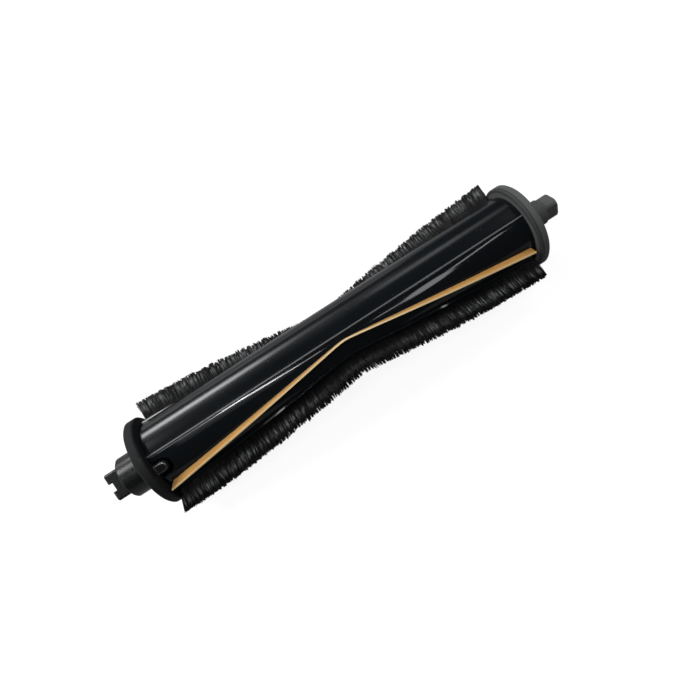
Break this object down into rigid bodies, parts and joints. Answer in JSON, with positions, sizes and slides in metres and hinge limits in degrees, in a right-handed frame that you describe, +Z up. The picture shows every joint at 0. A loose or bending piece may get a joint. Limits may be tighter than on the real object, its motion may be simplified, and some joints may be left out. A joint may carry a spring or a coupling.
{
  "type": "robot vacuum roller brush",
  "caption": "Roller brush for a robot vacuum: chevron bristle rows and rubber wiper blades on a round core between flanges, with a square drive peg and a turning bearing cup.",
  "frame": {"origin": "on the roller's axis at the drive flange's outer face, where the drive boss begins", "axes": "+X along the roller's axis from the idle end to the drive end and out of the drive peg, +Z up with the roller lying on its two flanges, +Y across"},
  "size_m": [0.1933, 0.0438, 0.034],
  "materials": {
    "core_gloss_black": "glossy moulded",
    "backing_black": "matte",
    "bristle_nylon": "dense nylon filaments",
    "blade_gold": "satin translucent rubber",
    "cap_grey": "fine matte texture",
    "cap_black": "fine matte texture",
    "pin_steel": "ground",
    "washer_plastic": "natural",
    "bush_bronze": "sintered"
  },
  "bodies": {
    "roller": {"roller_core": "core_gloss_black", "bristle_backing_a": "backing_black", "bristle_backing_b": "backing_black", "bristles_a": "bristle_nylon", "bristles_b": "bristle_nylon", "wiper_blade_a": "blade_gold", "wiper_blade_b": "blade_gold", "drive_end_cap": "cap_grey", "idle_end_cap": "cap_black", "axle_pin": "pin_steel", "thrust_washer": "washer_plastic", "retaining_ring": "pin_steel"},
    "bearing_block": {"bearing_cup": "cap_black", "bearing_bush": "bush_bronze"}
  },
  "joints": [
    {"name": "bearing_spin", "type": "hinge", "parent": "roller", "child": "bearing_block", "pos_m": [-0.17, 0, 0], "axis": [1, 0, 0], "continuous": true}
  ]
}
